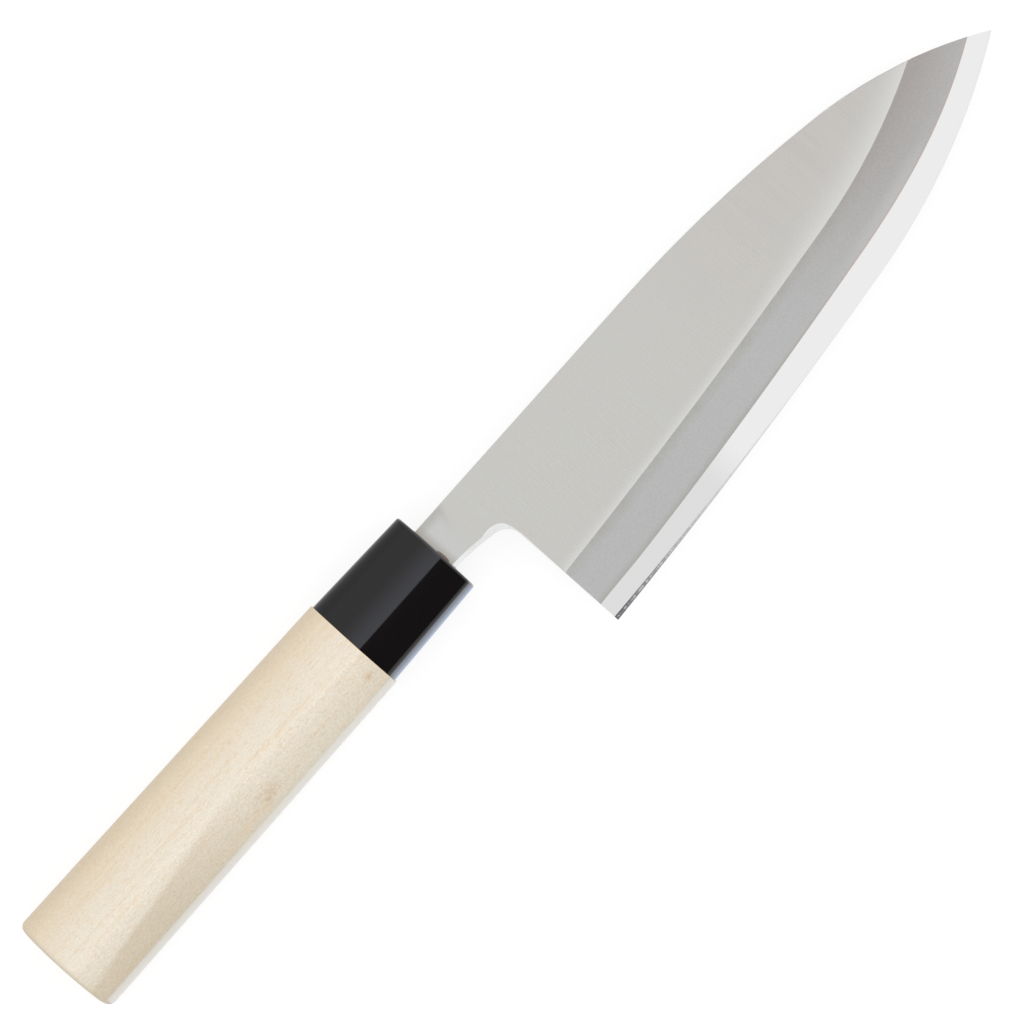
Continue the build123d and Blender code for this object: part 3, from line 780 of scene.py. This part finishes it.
def satin_cladding(colours, blade):
    """Stainless cladding: the flat brushed across the blade, the wide bevel bead-blasted."""
    material, tree, place = start_finish("satin_and_blasted_stainless")
    x, y, _ = add_node(tree, "SeparateXYZ", {}, (place,)).outputs
    faces_z = facing_parts(tree)["Z"]
    bevel_colour, bevel_gloss, bevel_relief, above_line = wide_bevel(tree, colours, blade, place, x)

    # A fine belt left satin lines from spine to edge, drawn 0.3 mm apart so that they show
    brush = drawn_out(tree, place, BELT_LEAN, (3.5, 0.04, 1), {"Detail": 4, "Roughness": 0.65})
    towards_tip = add_node(tree, "MapRange", SMOOTH, (x, 55, 150, 0, 1))
    by_spine = add_node(tree, "MapRange", SMOOTH, (above_line, 1, 14, 0.35, 1))
    warmth = add_node(tree, "Math", "MULTIPLY", (towards_tip, by_spine))
    flat = add_node(tree, "Mix", BLEND_COLOURS, (warmth, colours.satin, colours.satin_warm))
    belt_marks = drawn_out(tree, place, BELT_LEAN, (0.5, 0.04, 1), {"Detail": 3, "Roughness": 0.6})
    streaked = add_node(tree, "MapRange", {}, (belt_marks, 0.35, 0.65, 0, 0.6))
    flat = add_node(tree, "Mix", BLEND_COLOURS, (streaked, flat, colours.satin_streak))

    # The flat is painted lighter along the line, a painted highlight where the buffing wheel rolled the
    # surface over, in a band that widens past the belly
    line_highlight_width = add_node(tree, "MapRange", SMOOTH, (x, 85, 130, 3.2, 8))
    off_line = add_node(tree, "Math", "DIVIDE", (above_line, line_highlight_width))
    near_line = add_node(tree, "MapRange", {}, (off_line, 0, 1, 1, 0))
    line_highlight = add_node(tree, "Math", "POWER", (near_line, 2.0))
    flat = add_node(tree, "Mix", BLEND_COLOURS, (line_highlight, flat, colours.satin_highlight_tone))

    # The neck was polished on a wheel again after the handle went on, which rounded it over to the spine;
    # it is painted darker there, a painted shade
    neck_end = add_node(tree, "Math", "MULTIPLY_ADD", (y, -0.25, x))
    on_neck = add_node(tree, "MapRange", SMOOTH, (neck_end, 4.2, 8.5, 1, 0))
    spine_shade_share = add_node(tree, "MapRange", SMOOTH, (y, 3.8, 6.4, 0, 1))
    neck = add_node(tree, "Mix", BLEND_COLOURS, (spine_shade_share, colours.neck, colours.neck_painted_shade))
    flat = add_node(tree, "Mix", BLEND_COLOURS, (on_neck, flat, neck))

    # Where the buff lifted off it left a dull, warm patch by the spine
    lift = add_node(tree, "Math", "PINGPONG", (on_neck, 0.5))
    by_top = add_node(tree, "MapRange", {}, (y, -1, 6, 0, 0.6))
    lift = add_node(tree, "Math", "MULTIPLY", (lift, by_top))
    flat = add_node(tree, "Mix", BLEND_COLOURS, (lift, flat, colours.neck_stain))

    # Resin wiped off the neck left it dull beside the ferrule
    stained = add_node(tree, "MapRange", SMOOTH, (x, 0.2, 3, 0.72, 0))
    flat = add_node(tree, "Mix", BLEND_COLOURS, (stained, flat, colours.neck_stain))
    flat = mottled(tree, flat, brush, 0.2, 0.8, 0.99, 1.01)

    # The faces are told apart by how they lean
    on_flat, on_front, on_slant = (
        add_node(tree, "Math", "GREATER_THAN", (faces_z, least)) for least in (0.99, 0.9, 0.25)
    )
    front = add_node(tree, "Mix", BLEND_COLOURS, (on_flat, bevel_colour, flat))

    # The filed bevel under the neck runs on round the choil and fades out along the heel
    choil_x = (blade.neck_length - blade.choil_radius) / MILLIMETRE
    choil_y = blade.choil_height / MILLIMETRE
    choil_reach = blade.choil_radius / MILLIMETRE
    above_choil = add_node(tree, "Math", "SUBTRACT", (y, choil_y))
    above_choil = add_node(tree, "Math", "MAXIMUM", (above_choil, 0))
    from_choil = add_node(tree, "CombineXYZ", {}, (x, above_choil))
    from_choil = add_node(tree, "VectorMath", "DISTANCE", (from_choil, (choil_x, 0, 0)))
    filed_ends = (choil_reach + 0.25, choil_reach + 1.8)
    filed_reach = add_node(tree, "MapRange", SMOOTH, (y, -11.5, -5.8, *filed_ends))
    filed = add_node(tree, "Math", "LESS_THAN", (from_choil, filed_reach))
    front = add_node(tree, "Mix", BLEND_COLOURS, (filed, front, colours.strip))
    under_neck = add_node(tree, "Math", "LESS_THAN", (y, -3))
    slant = add_node(tree, "Mix", BLEND_COLOURS, (under_neck, colours.spine_round, colours.strip))
    ground = add_node(tree, "Mix", BLEND_COLOURS, (on_slant, colours.spine, slant))
    finish = add_node(tree, "Mix", BLEND_COLOURS, (on_front, ground, front))
    on_bevel = add_node(tree, "Math", "SUBTRACT", (on_front, on_flat))
    brushed_gloss = add_node(tree, "MapRange", {}, (brush, 0.2, 0.8, 0.23, 0.31))
    gloss = add_node(tree, "Mix", BLEND_VALUES, (on_neck, brushed_gloss, 0.13))
    gloss = add_node(tree, "Mix", BLEND_VALUES, (on_bevel, gloss, bevel_gloss))
    brush_relief = add_node(tree, "Math", "MULTIPLY", (brush, 0.45))
    relief = add_node(tree, "Mix", BLEND_VALUES, (on_bevel, brush_relief, bevel_relief))
    look = {"Metallic": 1, "Base Color": finish, "Roughness": gloss}
    finish_surface(tree, look, relief, strength=0.35, depth=0.012)
    return material


def polished_steel(colours, blade):
    """Hard core steel, ground fine and polished, with its narrow edge bevel."""
    material, tree, place = start_finish("polished_cutting_steel")
    x, _, z = add_node(tree, "SeparateXYZ", {}, (place,)).outputs
    faces_z = facing_parts(tree)["Z"]
    bevel_colour, bevel_gloss, bevel_relief = wide_bevel(tree, colours, blade, place, x)[:3]

    # The narrow bevel was ground on a stone. It carries a painted dark reflection, darkest at the heel and
    # along both of its borders, with lighter stone marks across its middle
    run_out = add_node(tree, "MapRange", {}, (x, 17, 121, 0.51, 0.105))
    across = add_node(tree, "Math", "DIVIDE", (z, run_out))
    centred = add_node(tree, "Math", "PINGPONG", (across, 0.5))
    middle = add_node(tree, "MapRange", SMOOTH, (centred, 0.16, 0.42, 0, 1))
    stroke = drawn_out(tree, place, 0, (1.3, 0.15, 1), {"Detail": 3, "Roughness": 0.7})
    marks = add_node(tree, "MapRange", {}, (stroke, 0.4, 0.6, 0, 0.5))
    cleared = add_node(tree, "Math", "MULTIPLY", (middle, marks))
    from_heel = add_node(tree, "MapRange", {}, (x, 17, 125, 1, 0))
    dark_reflection = add_node(tree, "Math", "POWER", (from_heel, 2.4))
    kept = add_node(tree, "Math", "SUBTRACT", (1, cleared))
    dark_reflection = add_node(tree, "Math", "MULTIPLY", (dark_reflection, kept))
    koba = add_node(tree, "Mix", BLEND_COLOURS, (dark_reflection, colours.koba, colours.koba_painted_dark))

    # The back was hollowed on a large wheel, which left fine lines, and its rim laid flat on a stone
    hollow = drawn_out(tree, place, 0, (4, 0.06, 1), {"Detail": 4, "Roughness": 0.6})
    in_hollow = add_node(tree, "MapRange", SMOOTH, (z, 0.005, 0.03, 0, 1))
    back = add_node(tree, "Mix", BLEND_COLOURS, (in_hollow, colours.back_rim, colours.satin))
    back = mottled(tree, back, hollow, 0.2, 0.8, 0.93, 1.05)

    # The faces are told apart by how they lean
    on_band = add_node(tree, "Math", "GREATER_THAN", (faces_z, 0.95))
    on_edge = add_node(tree, "Math", "GREATER_THAN", (faces_z, 0.5))
    on_back = add_node(tree, "Math", "LESS_THAN", (faces_z, -0.5))
    finish = add_node(tree, "Mix", BLEND_COLOURS, (on_edge, colours.spine, koba))
    finish = add_node(tree, "Mix", BLEND_COLOURS, (on_band, finish, bevel_colour))
    finish = add_node(tree, "Mix", BLEND_COLOURS, (on_back, finish, back))
    hollow_gloss = add_node(tree, "MapRange", {}, (in_hollow, 0, 1, 0.1, 0.24))
    gloss = add_node(tree, "Mix", BLEND_VALUES, (on_back, 0.12, hollow_gloss))
    gloss = add_node(tree, "Mix", BLEND_VALUES, (on_band, gloss, bevel_gloss))
    relief = add_node(tree, "Mix", BLEND_VALUES, (on_back, stroke, hollow))
    relief = add_node(tree, "Mix", BLEND_VALUES, (on_band, relief, bevel_relief))
    look = {"Metallic": 1, "Base Color": finish, "Roughness": gloss}
    finish_surface(tree, look, relief, strength=0.15, depth=0.01)
    return material


def moulded_plastic(colours):
    """Black moulded plastic, as glossy as its mould."""
    material, tree, place = start_finish("black_moulded_plastic")
    y = add_node(tree, "SeparateXYZ", {}, (place,)).outputs["Y"]
    faces_x, faces_y, _ = facing_parts(tree)

    # Moulded plastic mirrors softly: it sinks a little as it cools and dulls where it is handled
    waves = add_node(tree, "TexNoise", {}, {"Vector": place, "Scale": 0.12, "Detail": 1, "Roughness": 0.4})
    handling = add_node(
        tree, "TexNoise", {},
        {"Vector": place, "Scale": 1.4, "Detail": 4, "Roughness": 0.6},
    )
    gloss = add_node(tree, "MapRange", {}, (handling, 0.3, 0.7, 0.09, 0.14))

    # The face above the ridge is painted lighter and bluish towards the ridge, a painted highlight
    upper = add_node(tree, "MapRange", {}, (faces_y, -0.2, 0.2, 0, 1))
    by_ridge = add_node(tree, "MapRange", SMOOTH, (y, 5, -1.6, 0, 1))
    ridge_highlight = add_node(tree, "Math", "MULTIPLY", (upper, by_ridge))
    tone = add_node(tree, "Mix", BLEND_COLOURS, (ridge_highlight, colours.plastic, colours.plastic_painted_highlight))

    # The rounded front rim is painted grey, a painted highlight
    rim_starts = add_node(tree, "MapRange", SMOOTH, (faces_x, 0.05, 0.3, 0, 0.35))
    rim_ends = add_node(tree, "MapRange", SMOOTH, (faces_x, 0.7, 0.95, 1, 0))
    rim = add_node(tree, "Math", "MULTIPLY", (rim_starts, rim_ends))
    tone = add_node(tree, "Mix", BLEND_COLOURS, (rim, tone, colours.plastic_rim_highlight))

    # A fine fuzz of scratches on the steep flank catches light at a glancing look, like dust
    flank = add_node(tree, "MapRange", SMOOTH, (faces_y, -0.91, -0.985, 0, 1))
    mirror = add_node(tree, "MapRange", {}, (faces_y, 0.5, 0.95, 0.5, 0.15))
    look = {
        "Base Color": tone,
        "Roughness": gloss,
        "IOR": 1.4,
        "Specular IOR Level": mirror,
        "Sheen Weight": flank,
        "Sheen Roughness": 0.38,
        "Sheen Tint": colours.plastic_flank,
    }
    finish_surface(tree, look, waves, strength=0.3, depth=0.02)
    return material


def sanded_magnolia(colours):
    """Bare magnolia wood, shaped on a belt and sanded."""
    material, tree, place = start_finish("sanded_magnolia")
    x, y, _ = add_node(tree, "SeparateXYZ", {}, (place,)).outputs
    faces_x, faces_y, faces_z = facing_parts(tree)

    # Dry magnolia is pale and dull; it is painted warmer and darker towards the spine side and greyer
    # towards the edge side, a painted shade on both sides
    wood = colours.wood
    for start, end, most, tone in ((1, 14, 0.62, colours.wood_spine_painted_shade), (-3.5, -9.5, 0.65, colours.wood_edge_painted_shade)):
        side_shade_share = add_node(tree, "MapRange", SMOOTH, (y, start, end, 0, most))
        wood = add_node(tree, "Mix", BLEND_COLOURS, (side_shade_share, wood, tone))

    # Growth layers about 1.2 mm apart run nearly along the handle and climb to the spine at the ferrule
    layers_look = {"Detail": 5, "Roughness": 0.6, "Distortion": 0.3}
    layers = drawn_out(tree, place, GRAIN_LEAN, (0.025, 0.8, 0.3), layers_look)
    streaks = add_node(tree, "MapRange", SMOOTH, (layers, 0.48, 0.72, 0, 0.3))

    # Pores that sanding opened show as tan hairs nearly 2 mm long and 0.3 mm wide
    hairs_look = {"Detail": 2, "Roughness": 0.5, "Distortion": 0.6}
    hairs = drawn_out(tree, place, GRAIN_LEAN, (0.6, 3.6, 1.4), hairs_look)
    flecks = add_node(tree, "MapRange", SMOOTH, (hairs, 0.52, 0.7, 0, 0.5))
    tan_share = add_node(tree, "Math", "ADD", (streaks, flecks))
    wood = add_node(tree, "Mix", BLEND_COLOURS, (tan_share, wood, colours.streak))

    # Near the butt the edge side turns browner below a line that follows the grain
    grain_line = add_node(tree, "Math", "MULTIPLY_ADD", (x, -0.12, y))
    grain_line = add_node(tree, "Math", "MULTIPLY_ADD", (layers, 2.5, grain_line))
    below = add_node(tree, "MapRange", SMOOTH, (grain_line, 9.2, 7.6, 0, 1))
    towards_butt = add_node(tree, "MapRange", SMOOTH, (x, -60, -115, 0, 0.45))
    brown = add_node(tree, "Math", "MULTIPLY", (below, towards_butt))
    wood = add_node(tree, "Mix", BLEND_COLOURS, (brown, wood, colours.shade))

    # Torn fibres about 0.4 mm wide make the sanded surface look like felt
    felt_look = {"Detail": 4, "Roughness": 0.75, "Distortion": 0.8}
    felt = drawn_out(tree, place, GRAIN_LEAN, (1.7, 2.6, 2.6), felt_look)
    felt_depth = add_node(tree, "MapRange", SMOOTH, (faces_y, 0.1, -0.4, 0.48, 0.8))
    felt_shade = add_node(tree, "Math", "SUBTRACT", (felt, 0.5))
    felt_shade = add_node(tree, "Math", "MULTIPLY_ADD", (felt_shade, felt_depth, 1))
    wood = add_node(tree, "VectorMath", "SCALE", (wood, felt_shade))

    # The steep flank on the edge side is painted paler, a painted highlight, and a sheen for its sanding
    # fuzz shows white at a glancing look
    flank_highlight = add_node(tree, "MapRange", SMOOTH, (faces_y, -0.85, -0.99, 0, 0.6))
    wood = add_node(tree, "Mix", BLEND_COLOURS, (flank_highlight, wood, colours.flank_painted_highlight))

    # Two patchy brown smears that handling left, by their places along and across the handle
    blotches = add_node(
        tree, "TexNoise", {},
        {"Vector": place, "Scale": 0.7, "Detail": 3, "Roughness": 0.6},
    )
    blotched = add_node(tree, "MapRange", SMOOTH, (blotches, 0.42, 0.62, 0.1, 1))
    front_side = add_node(tree, "Math", "GREATER_THAN", (faces_z, 0))
    for along, across, reach in SMEARS:
        shift = (-along * SMEAR_SQUEEZE, -across, 0)
        span = add_node(
            tree, "Mapping", {},
            {"Vector": place, "Location": shift, "Scale": (SMEAR_SQUEEZE, 1, 0)},
        )
        span = add_node(tree, "VectorMath", "LENGTH", (span,))
        smear = add_node(tree, "MapRange", SMOOTH, (span, 0, reach, 0.5, 0))
        smear = add_node(tree, "Math", "MULTIPLY", (smear, blotched))
        smear = add_node(tree, "Math", "MULTIPLY", (smear, front_side))
        wood = add_node(tree, "Mix", BLEND_COLOURS, (smear, wood, colours.smear))

    # The butt shows the grain cut across, which drinks in more dirt
    on_butt = add_node(tree, "MapRange", {}, (faces_x, -0.55, -0.85, 0, 0.75))
    wood = add_node(tree, "Mix", BLEND_COLOURS, (on_butt, wood, colours.end_grain))

    # The small bevel beside the ferrule shows fresh, warmer wood, its place in millimetres
    joint = -FERRULE_LENGTH / MILLIMETRE
    in_joint = add_node(tree, "MapRange", SMOOTH, (x, joint - 0.35, joint - 0.05, 0, 0.7))
    wood = add_node(tree, "Mix", BLEND_COLOURS, (in_joint, wood, colours.joint))
    look = {"Base Color": wood, "Roughness": 0.5, "Sheen Weight": flank_highlight, "Sheen Roughness": 0.4}
    finish_surface(tree, look, felt, strength=0.5, depth=0.05)
    return material


def cured_resin(name, cured_colour, roughness):
    """Cured epoxy resin, wiped while soft: a little cloudy, with fine dimples."""
    material, tree, place = start_finish(name)
    clouds = add_node(tree, "TexNoise", {}, {"Vector": place, "Scale": 1.1, "Detail": 3, "Roughness": 0.6})
    tone = mottled(tree, cured_colour[:3], clouds, 0.25, 0.75, 0.75, 1.25)
    finish_surface(tree, {"Base Color": tone, "Roughness": roughness}, clouds, strength=0.4, depth=0.05)
    return material


def refinish(node_name, material):
    """Gives a CAD node its finish in place of the plain one."""
    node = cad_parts[node_name]
    node.data.materials.clear()
    node.data.materials.append(material)


class DEBA_OT_blade(Operator):
    """Finish the cladding and the cutting steel of the blade"""

    bl_idname = "deba.blade"
    bl_label = "Blade"

    def execute(self, context):
        scene = context.scene
        refinish("blade_cladding", satin_cladding(scene.deba_colours, scene.deba_blade))
        refinish("cutting_steel", polished_steel(scene.deba_colours, scene.deba_blade))
        return {"FINISHED"}


class DEBA_OT_ferrule(Operator):
    """Make the moulded ferrule"""

    bl_idname = "deba.ferrule"
    bl_label = "Ferrule"

    def execute(self, context):
        scene = context.scene
        mesh = ferrule_mesh(scene.deba_handle, scene.deba_mouth)
        material = moulded_plastic(scene.deba_colours)
        finished_piece(mesh, "moulded_ferrule", material, "ferrule")
        return {"FINISHED"}


class DEBA_OT_grip(Operator):
    """Make the wooden grip"""

    bl_idname = "deba.grip"
    bl_label = "Grip"

    def execute(self, context):
        scene = context.scene
        mesh = grip_mesh(scene.deba_handle, scene.deba_mouth)
        material = sanded_magnolia(scene.deba_colours)
        finished_piece(mesh, "wooden_grip", material, "handle_grip")
        return {"FINISHED"}


class DEBA_OT_resin(Operator):
    """Make the resin at the ferrule's mouth and finish the bedding in the grip"""

    bl_idname = "deba.resin"
    bl_label = "Resin"

    def execute(self, context):
        scene = context.scene
        mesh = seal_mesh(scene.deba_handle, scene.deba_mouth)
        material = cured_resin("brown_mouth_resin", scene.deba_colours.resin, roughness=0.3)
        finished_piece(mesh, "mouth_resin", material, "mouth_seal")
        bedding = cured_resin("bedding_resin", scene.deba_colours.bedding, roughness=0.6)
        refinish("tang_bedding", bedding)
        return {"FINISHED"}


class DEBA_OT_stage(Operator):
    """Set the floor, the light, the dark card and the camera"""

    bl_idname = "deba.stage"
    bl_label = "Stage"

    def execute(self, context):
        set_world(context.scene)
        set_floor()
        set_softbox()
        set_dark_card()
        set_camera(context.scene)
        return {"FINISHED"}


def seen_directly(tree):
    """One for rays that come from the camera, a mirror image or a clear body, else nothing."""
    path = add_node(tree, "LightPath", {}, {})
    seen = add_node(tree, "Math", "MAXIMUM", (path.outputs["Is Camera Ray"], path.outputs["Is Glossy Ray"]))
    seen = add_node(tree, "Math", "MAXIMUM", (seen, path.outputs["Is Transmission Ray"]))
    return seen


def set_world(scene):
    """Soft white surround, as bright as white where it is seen or mirrored."""
    world = bpy.data.worlds.new("studio")
    tree = empty_tree(world)
    dim = add_node(tree, "Background", {}, {"Color": WHITE, "Strength": 0.6})
    white = add_node(tree, "Background", {}, {"Color": WHITE, "Strength": 1.0})
    mixed = add_node(tree, "MixShader", {}, (seen_directly(tree), dim, white))
    add_node(tree, "OutputWorld", {}, {"Surface": mixed})
    scene.world = world
    scene.view_settings.view_transform = "Standard"


def stage_plane(name, corners, material):
    """Flat staged piece through four corners."""
    mesh = bmesh.new()
    mesh.faces.new([mesh.verts.new(corner) for corner in corners])
    data = bpy.data.meshes.new(name)
    mesh.to_mesh(data)
    mesh.free()
    data.materials.append(material)
    plane = bpy.data.objects.new(name, data)
    bpy.context.scene.collection.objects.link(plane)
    return plane


def set_floor():
    """Pale floor that looks white and keeps the knife's soft shadow."""
    material = bpy.data.materials.new("white_floor")
    tree = empty_tree(material)
    paper = add_node(tree, "BsdfDiffuse", {}, {"Color": (0.8, 0.8, 0.8, 1)})
    faint = add_node(tree, "BsdfDiffuse", {}, {"Color": (0.2, 0.2, 0.2, 1)})
    glow = add_node(tree, "Emission", {}, {"Color": WHITE, "Strength": 0.83})
    shown = add_node(tree, "AddShader", {}, (faint, glow))
    mixed = add_node(tree, "MixShader", {}, (seen_directly(tree), paper, shown))
    add_node(tree, "OutputMaterial", {}, {"Surface": mixed})
    reach = FLOOR_REACH
    down = CAD_BOX[0][2] - FLOOR_DROP
    sides = ((-reach, -reach), (reach, -reach), (reach, reach), (-reach, reach))
    stage_plane("floor", [(x, y, down) for x, y in sides], material)


def set_softbox():
    """Large soft lamp right above, which lights the knife without being mirrored."""
    lamp = bpy.data.lights.new("softbox", "AREA")
    lamp.shape = "SQUARE"
    lamp.size = LAMP_SIZE
    lamp.energy = LAMP_POWER
    softbox = bpy.data.objects.new("softbox", lamp)
    softbox.location = (0, 0, LAMP_HEIGHT)
    softbox.visible_camera = False
    softbox.visible_glossy = False
    bpy.context.scene.collection.objects.link(softbox)


def set_dark_card():
    """Black card beside the edge that only mirror images show, as studios use for dark lines."""
    material = bpy.data.materials.new("black_card")
    tree = empty_tree(material)
    black = add_node(tree, "BsdfDiffuse", {}, {"Color": (0.004, 0.004, 0.004, 1)})
    add_node(tree, "OutputMaterial", {}, {"Surface": black})
    half = CARD_HALF_LENGTH
    low = CARD_AWAY * tan(CARD_LOW)
    high = CARD_AWAY * tan(CARD_HIGH)
    sides = ((-half, low), (half, low), (half, high), (-half, high))
    card = stage_plane("dark_card", [(x, -CARD_AWAY, z) for x, z in sides], material)
    card.visible_camera = False
    card.visible_diffuse = False
    card.visible_transmission = False
    card.visible_shadow = False


def set_camera(scene):
    """Camera straight above, turned so that the knife points to the upper right."""
    data = bpy.data.cameras.new("camera")
    data.sensor_width = SENSOR_WIDTH
    data.lens = SENSOR_WIDTH * CAMERA_HEIGHT / VIEW_WIDTH
    data.clip_end = 20
    camera = bpy.data.objects.new("camera", data)
    camera.location = (*VIEW_CENTRE, CAMERA_HEIGHT)
    camera.rotation_euler = (0, 0, VIEW_TURN)
    scene.collection.objects.link(camera)
    scene.camera = camera


OPERATORS = [DEBA_OT_blade, DEBA_OT_ferrule, DEBA_OT_grip, DEBA_OT_resin, DEBA_OT_stage]


class DEBA_PT_panel(Panel):
    """Lists the knife's pieces and the stage"""

    bl_idname = "DEBA_PT_panel"
    bl_label = "Deba knife"
    bl_space_type = "VIEW_3D"
    bl_region_type = "UI"
    bl_category = "Deba knife"

    def draw(self, context):
        for operator in OPERATORS:
            self.layout.operator(operator.bl_idname)
        for name, group in GROUPS.items():
            box = self.layout.box()
            box.label(text=group.__doc__)
            for key in group.__annotations__:
                box.prop(getattr(context.scene, name), key)


def register():
    for group in GROUPS.values():
        bpy.utils.register_class(group)
    for item in OPERATORS + [DEBA_PT_panel]:
        bpy.utils.register_class(item)
    for name, group in GROUPS.items():
        setattr(bpy.types.Scene, name, PointerProperty(type=group))


def unregister():
    for name in GROUPS:
        delattr(bpy.types.Scene, name)
    for item in reversed(OPERATORS + [DEBA_PT_panel]):
        bpy.utils.unregister_class(item)
    for group in reversed(GROUPS.values()):
        bpy.utils.unregister_class(group)


def main():
    """Makes the whole scene."""
    register()
    bpy.ops.deba.blade()
    bpy.ops.deba.ferrule()
    bpy.ops.deba.grip()
    bpy.ops.deba.resin()
    bpy.ops.deba.stage()


if __name__ == "__main__":
    main()
